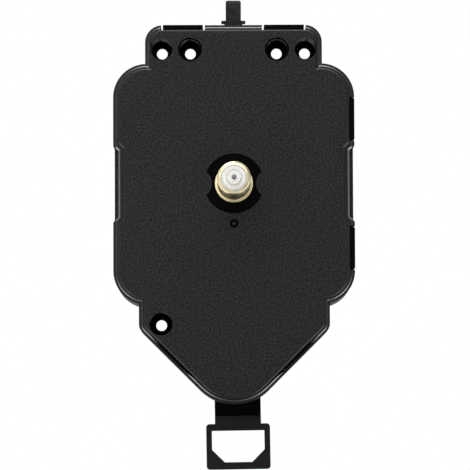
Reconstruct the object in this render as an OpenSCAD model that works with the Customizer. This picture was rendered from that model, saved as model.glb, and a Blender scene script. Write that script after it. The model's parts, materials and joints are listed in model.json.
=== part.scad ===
// Quartz clock movement with a pendulum drive.
// Millimetres. The origin lies on the hand shaft's axis, in the plane of the front face.
// X points right and Z up as seen from the front, and Y points back into the case.

/* [Case outline] */
// Width and height of the square middle of the case
main_size = 56; // [55:0.5:60]
// Corner radius of the square middle
main_corner_r = 7.8; // [6.5:0.1:8.5]
// Width of the screw block at the top
top_w = 41.1; // [40.6:0.1:43]
// Height of the top edge above the hand shaft
top_z = 37; // [36.5:0.1:39]
// Corner radius of the screw block
top_corner_r = 4; // [2.5:0.1:5]
// Width of the neck below the square middle
neck_w = 44.2; // [43.5:0.1:46]
// Radius where the neck turns into the slanted foot
neck_corner_r = 2.7; // [2.2:0.1:4]
// Depth of the rounded foot below the hand shaft
foot_bottom = 51; // [49:0.1:53]
// Radius of the foot's end
foot_end_r = 11.35; // [10:0.05:12.5]

/* [Case depth] */
// Depth of the screw block and the foot
base_depth = 14; // [13.9:0.1:16]
// Depth of the square middle, which holds the battery
main_depth = 20; // [19:0.1:22]
// Thickness of the side walls
wall_t = 1.3; // [1.1:0.05:1.6]
// Thickness of the rear walls
floor_t = 1.5; // [1.2:0.05:1.6]
// Half width of the channel that the pendulum arm swings in
channel_half_w = 8.6; // [8.3:0.1:9]
// Depth of the finger recess in each side
grip_depth = 0.33; // [0.2:0.01:0.6]
// Height of the finger recess
grip_h = 17.8; // [14:0.1:18.2]
// Depth of the notch that the cover has over the recess
grip_notch = 1.2; // [0.8:0.05:1.25]

/* [Front cover] */
// Thickness of the cover
cover_t = 2; // [1.8:0.05:2.4]
// Width of the lowered rim round the face
rim_w = 1.2; // [0.9:0.05:1.3]
// Width of the rim's outer ledge
ledge_w = 0.5; // [0.4:0.05:0.7]
// Step from the face to the rim
rim_step = 0.45; // [0.3:0.05:0.6]
// Step from the rim to its outer ledge
ledge_step = 0.5; // [0.3:0.05:0.6]
// Depth of the lip that seats inside the case wall
lip_depth = 1.4; // [1:0.1:1.6]
// Thickness of that lip
lip_t = 0.9; // [0.7:0.05:1.2]
// Radius of the keyed recess round the bushing
recess_r = 6.95; // [6.5:0.05:7.2]
// Radius of the two keys that stand into the recess
key_r = 3.4; // [3:0.05:3.6]
// Distance of the keys' centres from the shaft
key_x = 8.5; // [8.3:0.05:9]
// Distance of the moulding dimple below the shaft
dimple_drop = 9.3; // [8.5:0.1:10.5]
// Radius of the moulding dimple
dimple_r = 1; // [0.8:0.05:1.3]
// Radius of the stub that stands in the dimple
dimple_stub_r = 0.4; // [0.2:0.05:0.6]
// Depth of the moulding dimple
dimple_depth = 0.6; // [0.2:0.05:0.8]

/* [Latches] */
// Length of the latch notches in the cover's top edge
top_notch_l = 10.2; // [9:0.1:11]
// Distance of the top latches from the middle
top_latch_x = 11.75; // [11:0.05:12.2]
// Length of the latch notches in the right edge
side_notch_l = 10.3; // [9:0.1:11]
// Height of the side latches above and below the middle
side_latch_z = 15; // [14.6:0.1:15.4]
// Length of the latch slots along the slanted foot
foot_slot_l = 9.1; // [8:0.1:10]
// Gap at each end of a latch tongue
latch_gap = 0.46; // [0.3:0.02:0.6]
// How far a latch tongue stays behind the front face
latch_sink = 0.35; // [0.2:0.05:0.6]

/* [Screw holes] */
// Height of the top screw holes above the hand shaft
screw_z = 31.3; // [31:0.05:32]
// Distance between the two outer holes
outer_spacing = 33.4; // [32.8:0.1:34]
// Distance between the two inner holes
inner_spacing = 20.2; // [19.6:0.1:20.8]
// Radius of the screw holes
screw_r = 1.27; // [1.1:0.01:1.5]
// Radius of the wells over the outer holes
outer_well_r = 2.5; // [2.3:0.05:2.7]
// Radius of the cover's wells over the inner holes
inner_well_r = 2.8; // [2.6:0.05:2.9]
// Radius of the case's wells behind them
inner_bore_r = 2.55; // [2.4:0.05:2.6]
// Radius of the well over the foot's hole
foot_well_r = 2.7; // [2.5:0.05:2.9]
// Foot hole's distance left of the shaft
foot_screw_x = 17; // [16.6:0.1:17.2]
// Foot hole's distance below the shaft
foot_screw_z = 32.5; // [32:0.1:33]
// Depth of the screw wells below the front face
well_depth = 9.7; // [9:0.1:11]
// Thickness of the floor that the screws hold
screw_floor_t = 1; // [0.8:0.05:1.5]
// Radius of the recess behind that floor
screw_recess_r = 2.3; // [2:0.05:2.4]
// Wall round each screw well
tower_wall = 1.1; // [0.9:0.05:1.3]

/* [Hand shaft] */
// Length of the threaded bushing in front of the face
bush_l = 15; // [12:0.1:18]
// Outer radius of the threaded bushing
bush_r = 3.85; // [3.7:0.01:4]
// Radius of the bushing's collar
collar_r = 4.4; // [4.2:0.05:4.8]
// Thickness of the collar, which fills the recess's depth
collar_t = 0.6; // [0.5:0.05:0.8]
// Radius of the bushing's shank in the cover
shank_r = 3.5; // [3.4:0.01:3.6]
// Chamfer on the bushing's front end
bush_chamfer = 0.4; // [0.2:0.05:0.6]
// Radius of the hour tube inside the bushing
hour_tube_r = 2.9; // [2.8:0.01:3]
// Radius of the hour hand's seat
hour_seat_r = 2.55; // [2.45:0.01:2.7]
// Length of the hour hand's seat
hour_seat_l = 1.6; // [1.2:0.1:2.5]
// Radius of the minute tube inside the hour tube
minute_tube_r = 1.75; // [1.7:0.01:1.8]
// Radius of the minute hand's seat
minute_seat_r = 1.5; // [1.4:0.01:1.6]
// Length of the minute hand's seat
minute_seat_l = 1.4; // [1:0.1:2.5]
// Radius of the second hand's steel pin
second_pin_r = 0.5; // [0.45:0.01:0.52]
// Radius of the second hand's seat
second_seat_r = 0.34; // [0.3:0.01:0.38]
// Length of the second hand's seat
second_seat_l = 1.4; // [1:0.1:3]

/* [Wheel train] */
// Thickness of the wheels
wheel_t = 0.9; // [0.75:0.05:0.95]
// Free space between the cover, the motion work and the bridge
axial_gap = 0.45; // [0.35:0.01:0.47]
// Distance from the hand shaft to the motion wheel
motion_distance = 8.7; // [8.6:0.05:8.9]
// Distance from the hand shaft to the third wheel
third_distance = 8.4; // [8.3:0.05:8.6]
// Distance from the hand shaft to the intermediate wheel
middle_distance = 8.7; // [8.5:0.05:8.8]
// Distance from the intermediate wheel to the rotor
rotor_distance = 7.7; // [7.5:0.05:7.8]
// Radius of the round holes in the large wheels
web_hole_r = 1.2; // [0.9:0.05:1.4]
// Distance of those holes from the wheel's axis
web_hole_at = 4; // [3.8:0.05:4.2]
// Radius of the wheels' arbors
arbor_r = 0.45; // [0.38:0.01:0.5]
// Radius of the pivots at the arbors' ends
pivot_r = 0.3; // [0.25:0.01:0.34]
// Length of a pivot in its bearing
pivot_l = 0.7; // [0.5:0.05:0.8]
// Radius of the minute arbor's journal in the bridge
journal_r = 1.5; // [1.4:0.01:1.6]
// Radius of the stem that carries the centre wheel
stem_r = 1.2; // [1.1:0.01:1.3]
// Thickness of the clutch spring
clutch_t = 0.25; // [0.2:0.01:0.3]
// Radius of the clutch spring
clutch_r = 2.6; // [2.2:0.05:3]
// Thickness of the train bridge
bridge_t = 1; // [0.9:0.05:1.05]
// Gap between the train bridge and the side walls
bridge_side_gap = 2.2; // [1.8:0.1:2.7]
// How far the train bridge reaches below the hand shaft
bridge_drop = 19.5; // [19.2:0.1:19.8]
// Gap between the train bridge and the battery box
bridge_gap = 0.6; // [0.4:0.05:1]
// Radius of the pillars under the bridge
pillar_r = 2; // [1.8:0.05:2.1]
// Distance of the pillars from the bridge's side edges
pillar_inset = 2.5; // [2.3:0.05:2.7]
// Radius of the bridge screws' heads
bridge_head_r = 1.5; // [1.3:0.05:1.7]
// Height of the bridge screws' heads
bridge_head_h = 0.8; // [0.6:0.05:1]
// Radius of the bridge screws' shanks
bridge_shank_r = 0.7; // [0.6:0.05:0.8]
// Length of the bridge screws' shanks
bridge_shank_l = 5; // [4:0.1:6]

/* [Step motor] */
// Radius of the rotor's magnet
rotor_magnet_r = 3; // [2.8:0.05:3.1]
// Height of the rotor's magnet
rotor_magnet_h = 1.8; // [1.5:0.05:1.9]
// Radius of the magnet's bore
rotor_bore_r = 1; // [0.9:0.01:1.1]
// Air gap between the magnet and the stator
air_gap = 0.5; // [0.4:0.05:0.7]
// Thickness of the stator and of the coil's core
stator_t = 0.8; // [0.7:0.05:0.9]
// Radius of the stator's two poles
pole_r = 5.2; // [5:0.05:5.3]
// Width of the stator's legs and of the core
leg_w = 2.4; // [2.2:0.05:2.6]
// Distance of the legs from the rotor
leg_x = 8; // [7.8:0.05:8.2]
// Distance of the motor coil below the rotor
coil_drop = 8.5; // [8.3:0.05:8.8]
// Length of the motor coil between its flanges
coil_l = 11; // [10:0.1:11.4]
// Thickness of the motor bobbin's flanges
flange_t = 0.6; // [0.5:0.05:0.7]
// Radius of the motor bobbin's flanges
flange_r = 3.1; // [3:0.05:3.2]
// Radius of the motor coil's winding
winding_r = 2.8; // [2.6:0.05:2.9]
// Radius of the motor bobbin's barrel
barrel_r = 1.8; // [1.7:0.05:1.9]

/* [Circuit] */
// Width of the circuit board
board_w = 9; // [8:0.1:9.4]
// Height of the circuit board
board_h = 23; // [22:0.1:24]
// Thickness of the circuit board
board_t = 1; // [0.8:0.05:1.2]
// Radius of the quartz crystal's can
crystal_r = 1; // [0.9:0.05:1.1]
// Length of the quartz crystal's can
crystal_l = 6; // [5:0.1:6.5]
// Radius of the resin drop over the chip
chip_r = 2.4; // [2:0.05:2.6]
// Height of the resin drop
chip_h = 0.9; // [0.6:0.05:1.1]

/* [Battery bay] */
// Length of the AA cell that the bay holds
cell_l = 50.5; // [49.5:0.1:50.5]
// Diameter of the AA cell
cell_d = 14.5; // [14:0.1:14.6]
// Room round the cell across the bay
cell_play = 0.5; // [0.3:0.05:0.6]
// Room that the contacts take along the bay
contact_room = 1.7; // [1.5:0.05:1.7]
// Height of the cell's axis above the hand shaft
cell_z = 16.5; // [16.3:0.05:16.6]
// Thickness of the wall between the bay and the wheels
bay_wall_t = 1.2; // [1:0.05:1.3]
// Thickness of the bay's floor
bay_floor_t = 1; // [0.8:0.05:1.1]
// Thickness of the contact sheet
contact_t = 0.3; // [0.2:0.02:0.4]
// Width of the contacts, from front to back
contact_w = 9; // [8:0.1:10]
// Height of the contacts
contact_h = 11; // [10:0.1:12]
// Spring travel of the negative contact
contact_bow = 1.2; // [1:0.05:1.3]
// Width of the contacts' tails
tail_w = 0.9; // [0.8:0.05:1]
// Radius of the finger notch over the bay
finger_r = 8; // [6:0.5:9]
// Depth of the finger notch
finger_depth = 4.5; // [3:0.1:5]
// How far the finger notch reaches past the bay's edge
finger_reach = 2; // [1.5:0.1:2.2]

/* [Time setting] */
// Radius of the setting shaft
setting_shaft_r = 1.5; // [1.4:0.01:1.6]
// Radius of the setting knob
knob_r = 5.5; // [5.2:0.05:5.6]
// Depth of the setting knob's grip
knob_h = 6; // [5:0.1:7]
// Gap under the setting knob
knob_lift = 0.6; // [0.4:0.05:1]
// Gap round the setting knob in its well
knob_play = 0.7; // [0.6:0.05:0.75]
// Number of flutes round the knob
knob_flutes = 32; // [24:1:40]
// Wall round the knob's well
knob_wall_t = 1.2; // [1:0.05:1.3]

/* [Pendulum arm] */
// Height of the arm's pivot above the hand shaft
pivot_z = 4.2; // [4:0.05:4.3]
// Radius of the pivot pin
pivot_pin_r = 1.25; // [1.1:0.01:1.4]
// Radius of the eye round the pivot
eye_r = 3.3; // [3:0.05:3.4]
// Width of the arm
arm_w = 10.8; // [10:0.1:11]
// Thickness of the arm
arm_t = 1.8; // [1.6:0.05:2.2]
// Gap between the case and the arm
arm_gap = 1.2; // [1:0.05:1.4]
// Where the arm reaches its full width, below the pivot
arm_taper = 14; // [12:0.5:18]
// Width of the stiffening ribs on the arm's back
rib_w = 1.2; // [0.9:0.05:1.5]
// Height of those ribs
rib_h = 0.6; // [0.4:0.05:0.8]
// Depth of the hook frame's foot below the hand shaft
frame_bottom = 66.1; // [64:0.1:68]
// Height of the hook frame
frame_h = 10.7; // [10:0.1:12]
// Width of the hook frame
frame_w = 15; // [14:0.1:16]
// Width of the frame's side bars
frame_side_t = 1.33; // [1.1:0.01:1.5]
// Height of the frame's top bar
frame_top_t = 1.6; // [1.4:0.05:2]
// Height of the frame's foot bar, which the pendulum hangs on
frame_foot_t = 1.7; // [1.5:0.05:2]
// Slanted corners at the foot of the frame's window
frame_slant = 2.95; // [2:0.05:3.2]
// Height of the thicker foot of the strip, above the hook frame
pad_h = 2; // [1:0.1:2.5]
// How far the strip's foot stands in front of the strip
pad_t = 0.3; // [0.2:0.05:0.5]
// Angle at which the arm hangs at rest, towards +X
arm_rest = 0.75; // [0:0.05:1]
// Thickness of the pivot's clip
clip_t = 0.5; // [0.4:0.05:0.7]
// Radius of the pivot's clip
clip_r = 2.6; // [2.3:0.05:3]

/* [Pendulum drive] */
// Distance of the drive magnet below the hand shaft
drive_drop = 38; // [37:0.1:39]
// Radius of the drive magnet
drive_magnet_r = 3.6; // [3.3:0.05:3.8]
// Height of the drive magnet
drive_magnet_h = 2.5; // [2.2:0.05:2.8]
// Air gap between the case and the drive magnet
drive_gap = 0.7; // [0.6:0.05:0.9]
// Wall round the drive magnet
magnet_wall = 1.3; // [1:0.05:1.5]
// Radius of the drive bobbin's flanges
drive_flange_r = 7; // [6.5:0.1:7.5]
// Height of the drive bobbin
drive_bobbin_h = 4; // [3.5:0.1:4.5]
// Radius of the peg that the drive bobbin sits on
peg_r = 1.4; // [1.2:0.05:1.6]

/* [Hanging hook] */
// Width of the hook's strip
hook_w = 3.56; // [3.3:0.01:3.9]
// Thickness of the strip
hook_t = 1.2; // [1:0.05:1.3]
// Height of the hook's top above the hand shaft
hook_top = 43.75; // [43.5:0.05:45]
// Depth of the hook's front leg behind the front face
hook_y = 7.4; // [7:0.1:7.6]
// Gap between the hook's legs, for a nail or wire
hook_gap = 4.6; // [4.5:0.1:5]
// Length of the hook's back leg
hook_back_l = 4.25; // [4:0.05:4.3]
// Width of the flange on the hook
hook_flange_w = 5.65; // [5:0.05:6]
// Height of the flange
hook_flange_h = 0.65; // [0.5:0.05:0.8]
// Height of the seat on the case that the flange rests on
hook_seat_h = 1.14; // [1:0.02:1.3]
// Radius of the hook's upper corners
hook_corner_r = 0.6; // [0.4:0.05:0.8]
// Height of the shoulder above the flange
hook_shoulder_h = 0.95; // [0.7:0.05:1.2]
// How far the shoulder stands in front of the strip
hook_shoulder_t = 0.25; // [0.15:0.05:0.35]

/* [Fits] */
// Radial play of a shaft that turns in a hole
running_fit = 0.05; // [0.03:0.01:0.07]
// Play round a part that is pushed into its place
seat_fit = 0.02; // [0.01:0.01:0.05]
// Play between the lid's lip and the case
lid_fit = 0.1; // [0.05:0.01:0.15]

/* [Hidden] */
$fn = 64;
case_black = "#2b2b2b";
moulded_white = "#ecebe6";
brass = "#c9a45c";
steel = "#a9abae";
copper = "#a4562c";

// Teeth of each meshing pair, with the leaves of the pinions
minute_leaves = 15;
motion_teeth = 45;
motion_leaves = 10;
hour_teeth = 40;
setting_teeth = 24;
third_leaves = 8;
centre_teeth = 60;
second_leaves = 8;
third_teeth = 64;
middle_leaves = 10;
second_teeth = 50;
rotor_leaves = 10;
middle_teeth = 60;
// Tooth form: half widths as shares of the pitch, heights in modules
root_share = 0.27;
tip_share = 0.12;
tooth_rise = 0.9;
tooth_sink = 1.15;

// Directions of the shafts, in degrees from +X towards +Z
motion_angle = -35;
setting_angle = -30;
third_angle = -140;
middle_angle = -65;
rotor_angle = -100;

// Pitch radii of the wheels and pinions
minute_pinion_r = pitch_r(motion_distance, minute_leaves, motion_teeth);
motion_wheel_r = pitch_r(motion_distance, motion_teeth, minute_leaves);
motion_pinion_r = pitch_r(motion_distance, motion_leaves, hour_teeth);
hour_wheel_r = pitch_r(motion_distance, hour_teeth, motion_leaves);
setting_gear_r = motion_wheel_r * setting_teeth / motion_teeth;
third_pinion_r = pitch_r(third_distance, third_leaves, centre_teeth);
centre_wheel_r = pitch_r(third_distance, centre_teeth, third_leaves);
second_pinion_r = pitch_r(third_distance, second_leaves, third_teeth);
third_wheel_r = pitch_r(third_distance, third_teeth, second_leaves);
middle_pinion_r = pitch_r(middle_distance, middle_leaves, second_teeth);
second_wheel_r = pitch_r(middle_distance, second_teeth, middle_leaves);
rotor_pinion_r = pitch_r(rotor_distance, rotor_leaves, middle_teeth);
middle_wheel_r = pitch_r(rotor_distance, middle_teeth, rotor_leaves);

// Places of the shafts in the XZ plane
motion_at = polar(motion_distance, motion_angle);
setting_at = motion_at + polar(motion_wheel_r + setting_gear_r, setting_angle);
third_at = polar(third_distance, third_angle);
middle_at = polar(middle_distance, middle_angle);
rotor_at = middle_at + polar(rotor_distance, rotor_angle);
drive_at = [0, -drive_drop];
pivot_at = [0, pivot_z];
outer_screws = [[-outer_spacing / 2, screw_z], [outer_spacing / 2, screw_z]];
inner_screws = [[-inner_spacing / 2, screw_z], [inner_spacing / 2, screw_z]];
foot_screw = [-foot_screw_x, -foot_screw_z];

// Small gaps and sizes that several parts share
over = 1;
least_r = 0.1;
arc_step = 5;
shoulder_gap = 0.15;
end_play = 0.1;
slot_bite = 0.08;
boss_gap = 0.3;
setting_pivot_r = 0.8;
second_hub_r = 1.1;
drive_barrel_r = 2.6;
neck_cut_r = 0.9;
button_r = 2.6;
knob_cap_t = 1.5;
knob_rim_w = 0.8;
knob_dish = 0.5;
flute_depth = 0.45;
web_holes = 3;
seat_rim = 0.7;
seat_side = 0.35;
flange_reach = 0.4;
bridge_corner_r = 2;
upper_pillar_in = 3.3;
lower_pillar_in = 3.5;
board_edge = 0.3;
chip_shift = 0.5;
chip_lift = 1;
crystal_shift = 2;
crystal_drop = 6.5;
frame_corner_r = 0.8;

// Depths, from the front cover to the back of the case
hour_y = cover_t + axial_gap;
motion_y = hour_y + wheel_t + axial_gap;
bridge_y = motion_y + wheel_t + axial_gap;
bridge_back = bridge_y + bridge_t;
base_floor_y = base_depth - floor_t;
// The four wheels of the going train share the room behind the bridge: one gap below each,
// a little more above the clutch and at the floor
train_gap = (base_floor_y - bridge_back - 4 * wheel_t - clutch_t) / 5.5;
centre_y = bridge_back + train_gap;
clutch_y = centre_y + wheel_t;
third_y = clutch_y + clutch_t + 1.2 * train_gap;
second_y = third_y + wheel_t + train_gap;
middle_y = second_y + wheel_t + train_gap;
main_floor_y = main_depth - floor_t;
stator_back = bridge_back + stator_t;
core_mid_y = stator_back + stator_t / 2;
arm_y = base_depth + arm_gap;
arm_back = arm_y + arm_t;
knob_y = base_depth + knob_lift;
knob_back = knob_y + knob_h;
rotor_y = bridge_back + 2 * shoulder_gap;
board_back = bridge_back + board_t;
strip_y = middle_y + shoulder_gap;
clip_y = arm_back + boss_gap;
pin_front = base_floor_y + floor_t / 3;
hour_tip = bush_l + hour_seat_l;
minute_tip = hour_tip + minute_seat_l;
second_tip = minute_tip + second_seat_l;

// Foot of the outline: the slanted sides touch the end circle
foot_centre = foot_bottom - foot_end_r;
foot_apex = foot_centre + foot_end_r * sqrt(2);
slant_x = (foot_end_r / sqrt(2) + neck_w / 2) / 2;
slant_mid = [slant_x, slant_x - foot_apex];

// Battery bay
bay_half_l = (cell_l + contact_room) / 2;
bay_half_h = (cell_d + cell_play) / 2;
bay_top = cell_z + bay_half_h;
bay_bottom = cell_z - bay_half_h;
bay_y = main_depth - cell_d - cell_play;
box_bottom = bay_bottom - bay_wall_t;
box_top = bay_top + bay_wall_t;

// Train bridge and its pillars
bridge_half_w = main_size / 2 - wall_t - bridge_side_gap;
bridge_top = box_bottom - bridge_gap;
pillar_x = bridge_half_w - pillar_inset;
pillar_z = [bridge_top - upper_pillar_in, lower_pillar_in - bridge_drop];
pillars_at = [for (x = [-pillar_x, pillar_x], z = pillar_z) [x, z]];
board_x = board_w / 2 + board_edge - bridge_half_w;
board_z = (bridge_top - bridge_drop) / 2;
chip_at = [board_x + chip_shift, board_z + chip_lift];
crystal_at = [board_x + crystal_shift, board_z - crystal_drop];

// Motor coil and the knob's well
coil_at = rotor_at - [0, coil_drop];
well_r = knob_r + knob_play;

// Frame of the pendulum hook
frame_top = frame_bottom - frame_h;

// Hanging hook
hook_seat_z = top_z + hook_seat_h;
hook_low = top_z - wall_t - hook_t;

function polar(distance, angle) = distance * [cos(angle), sin(angle)];

// Points along an arc, in fine steps
function arc(centre, r, from, to) = [for (a = [from : -arc_step : to]) centre + polar(r, a)];

// Pitch radius of the first of two meshing wheels
function pitch_r(distance, own, other) = distance * own / (own + other);

// Angle that puts a gap of the second wheel on the tooth of the first, along their line of centres
function mesh_angle(line, first, first_angle, second) =
    line + 180 + ((line - first_angle) * first / 360 + 0.5) * 360 / second;

// Angles at which the wheels stand in mesh
motion_turn = mesh_angle(motion_angle, minute_leaves, 0, motion_teeth);
hour_turn = mesh_angle(motion_angle + 180, motion_leaves, 0, hour_teeth);
setting_turn = mesh_angle(setting_angle, motion_teeth, motion_turn, setting_teeth);
third_turn = mesh_angle(third_angle, second_leaves, 0, third_teeth);
centre_turn = mesh_angle(third_angle + 180, third_leaves, 0, centre_teeth);
second_turn = mesh_angle(middle_angle + 180, middle_leaves, 0, second_teeth);
middle_turn = mesh_angle(rotor_angle + 180, rotor_leaves, 0, middle_teeth);

// Corner points of a wheel's teeth, four to a tooth
function tooth_points(teeth, pitch, turn) =
    let (module_mm = 2 * pitch / teeth)
    [for (i = [0 : teeth - 1], corner = [[-root_share, -tooth_sink], [-tip_share, tooth_rise],
            [tip_share, tooth_rise], [root_share, -tooth_sink]])
        polar(pitch + corner[1] * module_mm, turn + (i + corner[0]) * 360 / teeth)];

// A shape drawn in the XZ plane, filled from one depth to another
module slab(front, back) {
    translate([0, back, 0])
        rotate([90, 0, 0])
            linear_extrude(back - front)
                children();
}

// A round rod along the depth
module rod(front, back, r, at = [0, 0]) {
    translate([at[0], back, at[1]])
        rotate([90, 0, 0])
            cylinder(r = r, h = back - front);
}

// A round rod along X
module cross_rod(left, right, r, at) {
    translate([left, at[0], at[1]])
        rotate([0, 90, 0])
            cylinder(r = r, h = right - left);
}

// A box given by its two corners
module block(low, high) {
    translate(low)
        cube(high - low);
}

// A turned part on the hand shaft: its profile gives radius, then distance in front of the face
module turned() {
    rotate([90, 0, 0])
        rotate_extrude()
            children();
}

// A toothed disc
module gear(front, back, teeth, pitch, turn = 0, at = [0, 0]) {
    slab(front, back)
        translate(at)
            polygon(tooth_points(teeth, pitch, turn));
}

// A large wheel: a toothed disc with a ring of round holes in its web
module wheel(front, teeth, pitch, turn, at = [0, 0]) {
    difference() {
        gear(front, front + wheel_t, teeth, pitch, turn, at);
        for (i = [0 : web_holes - 1])
            rod(front - over, front + wheel_t + over, web_hole_r,
                at + polar(web_hole_at, turn + i * 360 / web_holes));
    }
}

// An arbor between the train bridge and the case floor, with a pivot at each end
module arbor(at) {
    rod(bridge_back + shoulder_gap, base_floor_y - shoulder_gap, arbor_r, at);
    rod(bridge_back - pivot_l, base_floor_y + pivot_l, pivot_r, at);
}

module rounded_rect(half_w, low, high, corner_r) {
    r = max(corner_r, least_r);
    translate([r - half_w, low])
        square([2 * (half_w - r), high - low]);
    translate([-half_w, low + r])
        square([2 * half_w, high - low - 2 * r]);
    for (x = [r - half_w, half_w - r], z = [low + r, high - r])
        translate([x, z])
            circle(r);
}

module main_outline(inset = 0) {
    half = main_size / 2 - inset;
    rounded_rect(half, -half, half, main_corner_r - inset);
}

module top_outline(inset = 0) {
    rounded_rect(top_w / 2 - inset, 0, top_z - inset, top_corner_r - inset);
}

// The neck and the slanted foot, whose sides run into the round end
module foot_outline(inset = 0) {
    half = neck_w / 2 - inset;
    r = max(neck_corner_r - inset, least_r);
    neck_z = half + r * tan(22.5) + inset * sqrt(2) - foot_apex;
    polygon(concat([[half, 0]], arc([half - r, neck_z], r, 0, -45),
        arc([0, -foot_centre], foot_end_r - inset, -45, -135),
        arc([r - half, neck_z], r, -135, -180), [[-half, 0]]));
}

module case_outline(inset = 0) {
    main_outline(inset);
    top_outline(inset);
    foot_outline(inset);
}

// Latch tongues in the top and right edges, longer by play at both ends
module edge_latches(play = 0, depth = rim_w) {
    top_l = top_notch_l - 2 * latch_gap + 2 * play;
    side_l = side_notch_l - 2 * latch_gap + 2 * play;
    for (x = [-top_latch_x, top_latch_x])
        translate([x - top_l / 2, top_z - depth])
            square([top_l, depth]);
    for (z = [-side_latch_z, side_latch_z])
        translate([main_size / 2 - depth, z - side_l / 2])
            square([depth, side_l]);
}

// Latch tongues along the slanted foot, between the rim's outer ledge and the face
module foot_latches(play = 0, depth = rim_w) {
    length = foot_slot_l - 2 * latch_gap + 2 * play;
    for (side = [0, 1])
        mirror([side, 0])
            translate(slant_mid)
                rotate(45)
                    translate([-length / 2, ledge_w])
                        square([length, depth - ledge_w]);
}

// Finger notches in the cover's sides, with slanted ends, wider by grow on every side
module grip_notches(grow = 0) {
    edge = main_size / 2;
    outer_z = grip_h / 2 + grow * sqrt(2);
    inner_x = edge - grip_notch - grow;
    inner_z = outer_z - grip_notch - grow;
    for (side = [0, 1])
        mirror([side, 0])
            polygon([[edge + over, -outer_z], [edge, -outer_z], [inner_x, -inner_z],
                [inner_x, inner_z], [edge, outer_z], [edge + over, outer_z]]);
}

// Outline of the cover, drawn in by inset, and by notch_inset along the finger notches
module cover_outline(inset = 0, notch_inset = 0) {
    difference() {
        case_outline(inset);
        grip_notches(notch_inset);
    }
}

// Recess round the bushing, with the two keys left standing
module keyed_recess() {
    difference() {
        circle(recess_r);
        for (x = [-key_x, key_x])
            translate([x, 0])
                circle(key_r);
    }
}

// Wells of all five screw holes, wider by grow
module screw_wells(grow = 0, inner_r = inner_well_r) {
    for (at = outer_screws)
        translate(at)
            circle(outer_well_r + grow);
    for (at = inner_screws)
        translate(at)
            circle(inner_r + grow);
    translate(foot_screw)
        circle(foot_well_r + grow);
}

module front_cover() {
    lip = wall_t + lid_fit;
    color(case_black)
        difference() {
            union() {
                slab(rim_step + ledge_step, cover_t)
                    cover_outline();
                slab(rim_step, cover_t)
                    cover_outline(ledge_w);
                slab(0, cover_t)
                    cover_outline(rim_w, rim_w);
                slab(cover_t, cover_t + lip_depth)
                    difference() {
                        case_outline(lip);
                        case_outline(lip + lip_t);
                        screw_wells(tower_wall + lid_fit, inner_bore_r);
                    }
            }
            slab(-over, cover_t + lip_depth) {
                edge_latches(latch_gap);
                foot_latches(latch_gap, rim_w + slot_bite);
            }
            slab(-over, cover_t + over)
                screw_wells();
            slab(-over, collar_t)
                keyed_recess();
            rod(-over, cover_t + over, shank_r + seat_fit);
            slab(-over, dimple_depth)
                translate([0, -dimple_drop])
                    difference() {
                        circle(dimple_r);
                        circle(dimple_stub_r);
                    }
            rod(cover_t - pivot_l - shoulder_gap, cover_t + over, pivot_r + running_fit, motion_at);
            rod(cover_t - pivot_l - shoulder_gap, cover_t + over, setting_pivot_r + running_fit, setting_at);
        }
}

// Outer solids of the rear case: the base, and the deep middle without the arm's channel
module case_solid() {
    slab(cover_t, base_depth)
        case_outline();
    slab(base_depth, main_depth)
        difference() {
            main_outline();
            translate([-channel_half_w, -main_size])
                square([2 * channel_half_w, main_size + box_bottom]);
        }
}

// Hollow of the rear case: the chamber behind the cover, and the deep chambers beside the channel
module case_hollow() {
    inner_x = channel_half_w + floor_t;
    slab(cover_t - over, base_floor_y)
        case_outline(wall_t);
    slab(base_floor_y - over, main_floor_y)
        difference() {
            main_outline(wall_t);
            translate([-inner_x, -main_size])
                square([2 * inner_x, 2 * main_size]);
            translate([-main_size, box_bottom])
                square([2 * main_size, main_size]);
        }
}

// What stands inside the rear case
module case_ribs() {
    slab(cover_t, base_depth)
        intersection() {
            case_outline();
            screw_wells(tower_wall, inner_bore_r);
        }
    slab(bay_y - bay_floor_t, main_depth)
        intersection() {
            main_outline();
            translate([-main_size / 2, box_bottom])
                square([main_size, box_top - box_bottom]);
        }
    rod(base_floor_y, main_depth, well_r + knob_wall_t, setting_at);
    for (at = pillars_at)
        rod(bridge_back, main_depth - floor_t / 2, pillar_r, at);
    rod(base_floor_y - drive_bobbin_h + shoulder_gap, base_depth, peg_r, drive_at);
    rod(base_floor_y, arm_y - boss_gap, eye_r - boss_gap, pivot_at);
}

// Seat of the hanging hook on the top wall
module hook_seat() {
    half_w = hook_w / 2 + seat_side;
    block([-half_w, hook_y - seat_rim, top_z - wall_t],
        [half_w, hook_y + hook_t + seat_rim, hook_seat_z]);
}

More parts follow.
